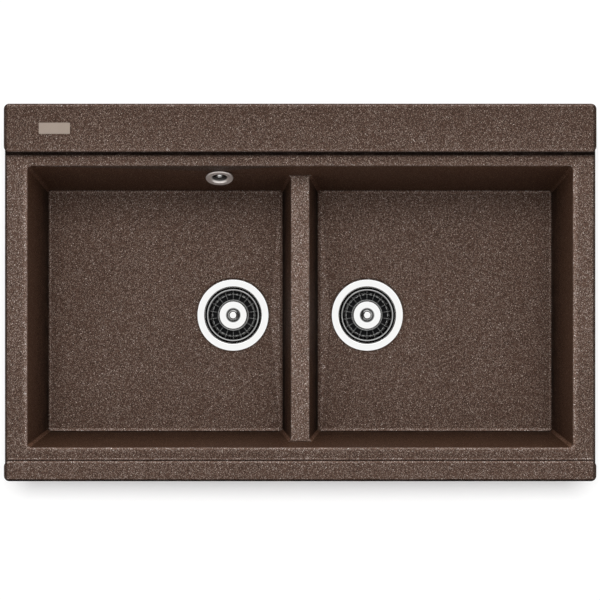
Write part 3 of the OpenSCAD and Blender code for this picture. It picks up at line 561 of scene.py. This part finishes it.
def makeLatheGroup(detail):
    # Fine rings left by turning or polishing round the piece's own Z axis, and a few smudges
    inputs = [("Vector", "Vector")]
    inputs += [(label, "Float") for label in ("Ring Scale", "Ring Rough", "Smudge")]
    outputs = [(label, "Float") for label in ("Rough", "Height", "Tone", "Radius")]
    group, given, result = newGroup("latheRings", inputs, outputs)
    calc, span = partial(mathNode, group), partial(rescale, group)
    x, y, z = splitVector(group, given["Vector"])
    radius = calc("SQRT", calc("MULTIPLY_ADD", y, y, calc("MULTIPLY", x, x)))
    along = group.nodes.new("ShaderNodeCombineXYZ")
    connect(group, radius, along.inputs[0])
    connect(group, z, along.inputs[2])
    rings = noise(group, along.outputs[0], given["Ring Scale"], detail["ringDetail"])
    smudge = span(noise(group, given["Vector"], detail["smudgeScale"]), *detail["smudge"])
    ringRough = calc("MULTIPLY", rings, given["Ring Rough"])
    rough = calc("ADD", calc("MULTIPLY", smudge, given["Smudge"]), ringRough)
    connect(group, rough, result["Rough"])
    connect(group, rings, result["Height"])
    connect(group, span(rings, *detail["tone"]), result["Tone"])
    connect(group, radius, result["Radius"])
    return group


def makeMouldGroup(detail):
    # Moulded skin: soft orange peel, faint mottling
    inputs = [("Vector", "Vector"), ("Color", "Color")]
    inputs += [("Peel Scale", "Float"), ("Mottle", "Float")]
    outputs = [("Color", "Color"), ("Rough", "Float"), ("Height", "Float")]
    group, given, result = newGroup("mouldedSkin", inputs, outputs)
    mix, span = partial(mixColors, group), partial(rescale, group)
    peel = noise(group, given["Vector"], given["Peel Scale"], detail["peelDetail"])
    mottle = noise(group, given["Vector"], detail["mottleScale"])
    factor = mathNode(group, "MULTIPLY", span(mottle, *detail["mottle"]), given["Mottle"])
    dark = mix("MULTIPLY", 1.0, given["Color"], detail["mottleTint"])
    connect(group, mix("MIX", factor, given["Color"], dark), result["Color"])
    connect(group, span(mottle, *detail["mottleRough"]), result["Rough"])
    connect(group, peel, result["Height"])
    return group


stoneGrain = makeGrainGroup(graniteLook, grainDetail)
handWear = makeShadingPaintGroup(graniteLightPaint, shadingPaintSpans, shadingPaintDetail)
latheRings = makeLatheGroup(latheDetail)
mouldedSkin = makeMouldGroup(mouldDetail)


def startMaterial(name, group, middle=(0, 0, 0), tilt=0.0):
    material = bpy.data.materials.new(name)
    material.use_nodes = True
    tree = material.node_tree
    shader = tree.nodes["Principled BSDF"]
    place = tree.nodes.new("ShaderNodeTexCoord")
    shift = tree.nodes.new("ShaderNodeMapping")
    shift.vector_type = "TEXTURE"
    shift.inputs["Location"].default_value = middle
    shift.inputs["Rotation"].default_value = (tilt, 0, 0)
    effect = tree.nodes.new("ShaderNodeGroup")
    effect.node_tree = group
    connect(tree, place.outputs["Object"], shift.inputs["Vector"])
    connect(tree, shift.outputs["Vector"], effect.inputs["Vector"])
    return material, tree, shader, effect


def roughAndBump(tree, shader, effect, look, depth):
    rough = mathNode(tree, "ADD", effect.outputs["Rough"], look["roughness"])
    connect(tree, rough, shader.inputs["Roughness"])
    bumps = tree.nodes.new("ShaderNodeBump")
    bumps.inputs["Strength"].default_value = look["bump"]
    bumps.inputs["Distance"].default_value = depth
    connect(tree, effect.outputs["Height"], bumps.inputs["Height"])
    connect(tree, bumps.outputs["Normal"], shader.inputs["Normal"])


def makeGranite(look, paintedLight, skin):
    material, tree, shader, effect = startMaterial("graniteComposite", stoneGrain)
    for label, value in look.items():
        effect.inputs[label].default_value = value
    # Painted highlights and painted shade by place on the stone and from the mesh's marks
    lightPaint = tree.nodes.new("ShaderNodeGroup")
    lightPaint.node_tree = handWear
    for label, value in paintedLight.items():
        lightPaint.inputs[label].default_value = value
    place = tree.nodes.new("ShaderNodeTexCoord")
    connect(tree, place.outputs["Object"], lightPaint.inputs["Vector"])
    connect(tree, place.outputs["Normal"], lightPaint.inputs["Normal"])
    for label, attribute in (("Edge", "edgeWear"), ("Wall", "bowlWall")):
        painted = tree.nodes.new("ShaderNodeAttribute")
        painted.attribute_name = attribute
        connect(tree, painted.outputs["Fac"], lightPaint.inputs[label])
    connect(tree, painted.outputs["Fac"], effect.inputs["Wall"])
    connect(tree, lightPaint.outputs["Wear"], effect.inputs["Wear"])
    connect(tree, effect.outputs["Color"], shader.inputs["Base Color"])
    shader.inputs["Specular IOR Level"].default_value = skin["specular"]
    roughAndBump(tree, shader, effect, skin, skin["bumpDepth"])
    return material


# Radius from the axis in mm, and how much of the metal's colour is left there: painted shade and
# painted dark reflection darken all but the knob's top, the raised middle and the flange's mouth
wasteShade = [
    (0.0, 1.0), (4.9, 1.0),                 # knob's top
    (6.6, 0.28), (8.6, 0.24),               # knob's shoulder and the dimple
    (10.6, 1.0), (19.2, 1.0),               # raised middle
    (21.2, 0.14), (26.8, 0.1),              # slotted ring
    (28.8, 0.55), (30.3, 0.65),             # foot of the basket's wall
    (31.2, 0.14), (32.4, 0.2),              # wall
    (33.8, 0.48), (35.0, 0.4),              # rolled rim
    (36.6, 0.24), (38.1, 1.0),              # gap and the flange's mouth
]
rosetteShade = [(0.0, 0.06), (9.6, 0.07), (10.6, 0.8), (11.4, 1.0)]
shadeReach = 50.0                          # mm of radius from end to end of the grey ramp


def shadeRamp(tree, radius, shadeByRadius):
    ramp = tree.nodes.new("ShaderNodeValToRGB")
    connect(tree, mathNode(tree, "MULTIPLY", radius, 1000 / shadeReach), ramp.inputs[0])
    stops = ramp.color_ramp.elements
    stops.remove(stops[1])
    for distance, grey in shadeByRadius:
        stop = stops.new(distance / shadeReach) if distance else stops[0]
        stop.color = (grey, grey, grey, 1)
    return ramp.outputs["Color"]


metalLooks = {
    "polishedSteel": {
        "color": (0.97, 0.97, 0.96, 1), "roughness": 0.03, "bump": 0.02,
        "Ring Scale": 1400.0, "Ring Rough": 0.02, "Smudge": 0.02,
    },
    "brushedSteel": {
        "color": (0.93, 0.86, 0.82, 1), "roughness": 0.42, "bump": 0.12,
        "Ring Scale": 2200.0, "Ring Rough": 0.08, "Smudge": 0.06,
    },
    "screwSteel": {
        "color": (0.74, 0.74, 0.73, 1), "roughness": 0.18, "bump": 0.05,
        "Ring Scale": 3000.0, "Ring Rough": 0.08, "Smudge": 0.08,
    },
    "castZinc": {
        "color": (0.6, 0.61, 0.62, 1), "roughness": 0.42, "bump": 0.15,
        "Ring Scale": 700.0, "Ring Rough": 0.08, "Smudge": 0.15,
    },
    "badgeMetal": {
        "color": (0.40, 0.33, 0.28, 1), "roughness": 0.5, "bump": 0.05,
        "Ring Scale": 900.0, "Ring Rough": 0.08, "Smudge": 0.05,
    },
}
mouldedLooks = {
    "blackRubber": {
        "Color": (0.010, 0.010, 0.011, 1), "roughness": 0.62, "specular": 0.25, "bump": 0.15,
        "Peel Scale": 1500.0, "Mottle": 0.2,
    },
    "whitePlastic": {
        "Color": (0.78, 0.78, 0.75, 1), "roughness": 0.34, "specular": 0.5, "bump": 0.08,
        "Peel Scale": 900.0, "Mottle": 0.06,
    },
    "greyPlastic": {
        "Color": (0.55, 0.55, 0.53, 1), "roughness": 0.5, "specular": 0.4, "bump": 0.08,
        "Peel Scale": 900.0, "Mottle": 0.06,
    },
}
facingUp = (-0.1, 0.1, 0, 1)        # z of the face's normal over which the painted shade of the wastes and the rosette fades in
metalBumpDepth = 0.1 * mm
mouldedBumpDepth = 0.2 * mm
rosetteTilt = math.radians(62.5)    # the rosette's axis, from upright towards the front


def makeMetal(name, look, middle=(0, 0, 0), tilt=0.0, shadeByRadius=None):
    material, tree, shader, effect = startMaterial(name, latheRings, middle, tilt)
    for label in ("Ring Scale", "Ring Rough", "Smudge"):
        effect.inputs[label].default_value = look[label]
    shader.inputs["Metallic"].default_value = 1.0
    tone = tree.nodes.new("ShaderNodeCombineColor")
    for channel in range(3):
        connect(tree, effect.outputs["Tone"], tone.inputs[channel])
    shade = mixColors(tree, "MULTIPLY", 1.0, look["color"], tone.outputs[0])
    if shadeByRadius:
        # Painted shade by radius, only on faces looking up: the basket's outside keeps the plain
        # metal colour
        place = tree.nodes.new("ShaderNodeTexCoord")
        faceUp = rescale(tree, splitVector(tree, place.outputs["Normal"])[2], *facingUp)
        radiusShade = shadeRamp(tree, effect.outputs["Radius"], shadeByRadius)
        shade = mixColors(tree, "MULTIPLY", faceUp, shade, radiusShade)
    connect(tree, shade, shader.inputs["Base Color"])
    roughAndBump(tree, shader, effect, look, metalBumpDepth)
    return material


def makeMoulded(name, look):
    material, tree, shader, effect = startMaterial(name, mouldedSkin)
    for label in ("Color", "Peel Scale", "Mottle"):
        effect.inputs[label].default_value = look[label]
    connect(tree, effect.outputs["Color"], shader.inputs["Base Color"])
    shader.inputs["Specular IOR Level"].default_value = look["specular"]
    roughAndBump(tree, shader, effect, look, mouldedBumpDepth)
    return material


wasteX, wasteY = 0.091, -0.0305
wastePlaces = {"left": (-wasteX, wasteY, 0), "right": (wasteX, wasteY, 0)}
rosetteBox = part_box("overflow_rosette")
rosetteMiddle = (rosetteBox[0] + rosetteBox[1]) / 2

granite = makeGranite(graniteLook, graniteLightPaint, graniteSkin)
polishedSteel = {}
for side, middle in wastePlaces.items():
    look = metalLooks["polishedSteel"]
    polishedSteel[side] = makeMetal(side + "PolishedSteel", look, middle, shadeByRadius=wasteShade)
brushedSteel = makeMetal(
    "brushedSteel", metalLooks["brushedSteel"], rosetteMiddle, rosetteTilt, rosetteShade
)
screwSteel = makeMetal("screwSteel", metalLooks["screwSteel"])
castZinc = makeMetal("castZinc", metalLooks["castZinc"])
blackRubber = makeMoulded("blackRubber", mouldedLooks["blackRubber"])
whitePlastic = makeMoulded("whitePlastic", mouldedLooks["whitePlastic"])
greyPlastic = makeMoulded("greyPlastic", mouldedLooks["greyPlastic"])
badgeMetal = makeMetal("badgeMetal", metalLooks["badgeMetal"])
print("materials ready")


mergeDistance = 0.002 * mm


def mergedCopy(node, name):
    mesh = frame["nodes"][node].data.copy()
    mesh.name = name
    mesh.materials.clear()
    work = bmesh.new()
    work.from_mesh(mesh)
    bmesh.ops.remove_doubles(work, verts=work.verts, dist=mergeDistance)
    work.to_mesh(mesh)
    work.free()
    return mesh


# Painted highlights and painted shade on the stone's edges, and painted shade on the bowls' walls
edgeMarks = {
    "channelWear": -0.95,
    "stripChannelWear": -0.4,
    "openingWear": 1.5,
    "openingFrontWear": 1.8,
    "openingBackWear": 0.35,
    "dividerWear": 1.25,
    "floorLineWear": 0.5,
    "frontLineWear": 0.95,
    "backLineWear": 0.8,
    "frontCornerWear": 1.2,
    "backCornerWear": 0.3,
    "wallFootWear": -0.5,
    "frontFootWear": -0.9,
    # How strongly painted shade darkens each kind of bowl wall towards its foot
    "sideWall": 0.85,
    "frontWall": 0.6,
    "backWall": 0.2,
    "dividerWall": 1.1,
    "cornerWall": 0.22,
}
# Where these places lie, in metres, and how steep their faces are: the z of the face's normal
stonePlaces = {
    "outlineX": 0.387,
    "outlineY": 0.2455,
    "channel": (0.1790, 0.1846),
    "stripChannel": (-0.2225, -0.2195),
    "channelTop": 0.0084,
    "bowlX": 0.37,
    "bowlY": 0.22,
    "bowlTop": -0.01,
    "wallSteepness": 0.25,
    "cornerTurn": 0.4,          # both x and y of the normal pass this on a corner's face
    "wallTurn": 0.7,            # y of the normal passes this on a front or back wall
    "floorTop": -0.18,
    "floorEdgeX": 0.03,
    "floorEdge": (0.1, 0.99),
    "floorEdgeTurn": 0.1,
    "frontLine": 0.62,          # the painted highlight line on the floor's edge lies above, and the painted shade at the foot below
    "floorLine": 0.75,
    "openingDepth": -0.012,
    "openingEdge": (0.16, 0.985),
    "dividerEdge": (0.2, 0.985),
    "openingBack": 0.17,
    "openingTurn": 0.2,
    "dividerEdgeX": 0.02,
    "dividerBottom": -0.08,
    "dividerWallX": 0.05,
}


def isBowlWall(center, normal, places):
    inBowl = abs(center.x) < places["bowlX"] and abs(center.y) < places["bowlY"]
    return inBowl and center.z < places["bowlTop"] and 0 < normal.z < places["wallSteepness"]


def isBowlCorner(center, normal, places):
    turned = min(abs(normal.x), abs(normal.y)) > places["cornerTurn"]
    return turned and isBowlWall(center, normal, places)


def isBetween(value, limits):
    return limits[0] < value < limits[1]


def floorEdgeMark(normal, marks, places):
    # The rounding between floor and walls: a painted highlight line, and painted shade at the foot
    # of the wall
    if normal.y > places["floorEdgeTurn"]:
        return marks["frontLineWear" if normal.z > places["frontLine"] else "frontFootWear"]
    if normal.z < places["floorLine"]:
        return marks["wallFootWear"]
    return marks["backLineWear" if normal.y < -places["floorEdgeTurn"] else "floorLineWear"]


def edgeMark(center, normal, marks, places):
    # Painted highlight above 0 on an edge, painted shade below 0 in the channels and at the foot of
    # the walls
    x, y, z = center
    if z > 0 and (abs(x) > places["outlineX"] or abs(y) > places["outlineY"]):
        return 0.0
    for channel in ("channel", "stripChannel"):
        if z > 0 and isBetween(y, places[channel]):
            return marks[channel + "Wear"] if z < places["channelTop"] else 0.0
    onFloor = z < places["floorTop"] and abs(x) > places["floorEdgeX"]
    if onFloor and isBetween(normal.z, places["floorEdge"]):
        return floorEdgeMark(normal, marks, places)
    if isBowlCorner(center, normal, places):
        return marks["frontCornerWear" if normal.y > 0 else "backCornerWear"]
    edge = places["openingEdge" if z > places["openingDepth"] else "dividerEdge"]
    if not isBetween(normal.z, edge) or y > places["openingBack"]:
        return 0.0
    if z > 0:
        if normal.y < -places["openingTurn"]:
            return marks["openingBackWear"]
        return marks["openingFrontWear" if normal.y > places["openingTurn"] else "openingWear"]
    onDivider = abs(x) < places["dividerEdgeX"] and z > places["dividerBottom"]
    return marks["dividerWear"] if onDivider else 0.0


def wallMark(center, normal, marks, places):
    # How strongly painted shade darkens the bowl's wall towards its foot
    if not isBowlWall(center, normal, places):
        return 0.0
    if isBowlCorner(center, normal, places):
        return marks["cornerWall"]
    if abs(normal.y) > places["wallTurn"]:
        return marks["frontWall" if normal.y > 0 else "backWall"]
    return marks["dividerWall" if abs(center.x) < places["dividerWallX"] else "sideWall"]


def markEdges(mesh):
    for attribute, measure in (("edgeWear", edgeMark), ("bowlWall", wallMark)):
        painted = mesh.attributes.new(attribute, "FLOAT", "CORNER")
        for face in mesh.polygons:
            value = measure(face.center, face.normal, edgeMarks, stonePlaces)
            for corner in face.loop_indices:
                painted.data[corner].value = value


def bake(piece):
    graph = bpy.context.evaluated_depsgraph_get()
    mesh = bpy.data.meshes.new_from_object(piece.evaluated_get(graph), depsgraph=graph)
    piece.modifiers.clear()
    piece.data = mesh


def smoothTo(mesh, degrees):
    mesh.shade_smooth()
    mesh.set_sharp_from_angle(angle=math.radians(degrees))


def finishPiece(piece, node):
    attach(piece, frame["nodes"][node]["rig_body"])


def camelName(node):
    first, *rest = node.split("_")
    return first + "".join(word.capitalize() for word in rest)


# Degrees up to which a bend is shaded smooth, and the width of the edges' rounding
smoothAngles = {"stone": 34.0, "fitting": 38.0, "pressed": 44.0, "nut": 25.0, "thread": 35.0}
softEdges = {
    "none": 0.0,
    "plate": 0.25 * mm,
    "rubber": 0.2 * mm,
    "lowerGasket": 0.3 * mm,
    "nut": 0.5 * mm,
    "jaw": 0.4 * mm,
}


def dressNode(node, material, smooth="fitting", edge="none", reshape=None, mark=None):
    name = camelName(node)
    mesh = mergedCopy(node, name)
    if mark:
        mark(mesh)
    if reshape:
        for vertex in mesh.vertices:
            vertex.co = reshape(vertex.co.copy())
    mesh.materials.append(material)
    smoothTo(mesh, smoothAngles[smooth])
    piece = bpy.data.objects.new(name, mesh)
    scene.collection.objects.link(piece)
    if softEdges[edge]:
        rounding = piece.modifiers.new("rounding", "BEVEL")
        rounding.width = softEdges[edge]
        rounding.segments = 2
        rounding.limit_method = "ANGLE"
        rounding.angle_limit = math.radians(smoothAngles[smooth])
        rounding.harden_normals = False
    weighted = piece.modifiers.new("weighted", "WEIGHTED_NORMAL")
    weighted.keep_sharp = True
    bake(piece)
    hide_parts(node)
    finishPiece(piece, node)


clampPlaces = [(x, y) for y in (-0.2285, 0.2285) for x in (-0.33, -0.19, 0.19, 0.33)]

outletThread = {
    "outer": 23.9 * mm,         # the plain cylinder of the solid
    "wall": (-0.29, -0.266),    # heights between which the cylinder is drawn in
    "root": 22.8 * mm,
    "ridge": 1.1 * mm,
    "pitch": 2.309 * mm,
    "foot": -0.2869,
    "length": 18.2 * mm,
    "steps": 48,                # in a turn
}
screwThread = {
    "outer": 2.5 * mm,
    "wall": (-0.0523, 0.01),
    "root": 2.05 * mm,
    "ridge": 0.45 * mm,
    "pitch": 1.4 * mm,
    "foot": -0.0518,
    "length": 42.0 * mm,
    "steps": 16,
}
wallTolerance = 0.04 * mm


def shrinkTo(places, thread):
    # Draws a cylinder's wall in to the thread's root, and leaves every other point
    def move(point):
        for x, y in places:
            away = Vector((point.x - x, point.y - y))
            onWall = abs(away.length - thread["outer"]) < wallTolerance
            if onWall and isBetween(point.z, thread["wall"]):
                away = away.normalized() * thread["root"]
                return Vector((x + away.x, y + away.y, point.z))
        return point
    return move


dressNode("sink_body", granite, "stone", mark=markEdges)
dressNode("rim_seal", blackRubber)
dressNode("badge_plate", badgeMetal, edge="plate")
for side, middle in wastePlaces.items():
    steel = polishedSteel[side]
    dressNode(side + "_flange_cup", steel, "pressed")
    dressNode(side + "_basket", steel, "pressed")
    dressNode(side + "_basket_knob", steel, "pressed")
    dressNode(side + "_basket_stem", screwSteel)
    dressNode(side + "_basket_stopper", blackRubber, edge="rubber")
    dressNode(side + "_upper_gasket", blackRubber, edge="rubber")
    dressNode(side + "_lower_gasket", blackRubber, edge="lowerGasket")
    outlet = shrinkTo([middle[:2]], outletThread)
    dressNode(side + "_waste_body", whitePlastic, reshape=outlet)
    dressNode(side + "_clamp_bolt", screwSteel)
dressNode("overflow_rosette", brushedSteel, "pressed")
dressNode("overflow_screw", screwSteel, "pressed")
dressNode("overflow_gasket", blackRubber, edge="rubber")
dressNode("overflow_elbow", whitePlastic)
dressNode("overflow_pipe", whitePlastic)
dressNode("overflow_upper_nut", whitePlastic, "nut", "nut")
dressNode("overflow_lower_nut", whitePlastic, "nut", "nut")
dressNode("overflow_cone_washers", blackRubber)
dressNode("clamp_anchors", greyPlastic)
dressNode("clamp_screws", screwSteel, reshape=shrinkTo(clampPlaces, screwThread))
for number in range(1, 9):
    dressNode(f"clamp_jaw_{number}", castZinc, edge="jaw")
print("nodes dressed")


def makeThreadTree():
    # One ridge wound round each point
    tree = bpy.data.node_groups.new("screwThread", "GeometryNodeTree")
    sockets = {}
    for label, kind in (
        ("Geometry", "Geometry"), ("Root Radius", "Float"), ("Ridge", "Float"), ("Pitch", "Float"),
        ("Length", "Float"), ("Steps per Turn", "Int"), ("Material", "Material"),
    ):
        socket = tree.interface.new_socket(label, in_out="INPUT", socket_type="NodeSocket" + kind)
        sockets[label] = socket.identifier
    tree.interface.new_socket("Geometry", in_out="OUTPUT", socket_type="NodeSocketGeometry")
    given = tree.nodes.new("NodeGroupInput").outputs
    result = tree.nodes.new("NodeGroupOutput")
    turns = tree.nodes.new("ShaderNodeMath")
    turns.operation = "DIVIDE"
    spiral = tree.nodes.new("GeometryNodeCurveSpiral")
    upright = tree.nodes.new("GeometryNodeSetCurveNormal")
    upright.mode = "Z_UP"
    profile = tree.nodes.new("GeometryNodeCurvePrimitiveCircle")
    profile.inputs["Resolution"].default_value = 4  # a square, one corner out
    sweep = tree.nodes.new("GeometryNodeCurveToMesh")
    sweep.inputs["Fill Caps"].default_value = True
    copies = tree.nodes.new("GeometryNodeInstanceOnPoints")
    realize = tree.nodes.new("GeometryNodeRealizeInstances")
    paint = tree.nodes.new("GeometryNodeSetMaterial")
    for source, target in (
        (given["Length"], turns.inputs[0]),
        (given["Pitch"], turns.inputs[1]),
        (given["Steps per Turn"], spiral.inputs["Resolution"]),
        (turns.outputs[0], spiral.inputs["Rotations"]),
        (given["Root Radius"], spiral.inputs["Start Radius"]),
        (given["Root Radius"], spiral.inputs["End Radius"]),
        (given["Length"], spiral.inputs["Height"]),
        (given["Ridge"], profile.inputs["Radius"]),
        (spiral.outputs[0], upright.inputs[0]),
        (upright.outputs[0], sweep.inputs["Curve"]),
        (profile.outputs[0], sweep.inputs["Profile Curve"]),
        (given["Geometry"], copies.inputs["Points"]),
        (sweep.outputs[0], copies.inputs["Instance"]),
        (copies.outputs[0], realize.inputs[0]),
        (realize.outputs[0], paint.inputs["Geometry"]),
        (given["Material"], paint.inputs["Material"]),
        (paint.outputs[0], result.inputs[0]),
    ):
        connect(tree, source, target)
    return tree, sockets


threadTree, threadSockets = makeThreadTree()


def windThread(name, places, thread, material, node):
    mesh = bpy.data.meshes.new(name)
    mesh.from_pydata([(x, y, thread["foot"]) for x, y in places], [], [])
    piece = bpy.data.objects.new(name, mesh)
    scene.collection.objects.link(piece)
    modifier = piece.modifiers.new("thread", "NODES")
    modifier.node_group = threadTree
    values = {
        "Root Radius": thread["root"],
        "Ridge": thread["ridge"],
        "Pitch": thread["pitch"],
        "Length": thread["length"],
        "Steps per Turn": thread["steps"],
        "Material": material,
    }
    for label, value in values.items():
        modifier[threadSockets[label]] = value
    bake(piece)
    smoothTo(piece.data, smoothAngles["thread"])
    finishPiece(piece, node)


for side, middle in wastePlaces.items():
    name, node = side + "OutletThread", side + "_waste_body"
    windThread(name, [middle[:2]], outletThread, whitePlastic, node)
windThread("clampScrewThreads", clampPlaces, screwThread, screwSteel, "clamp_screws")
print("threads wound")
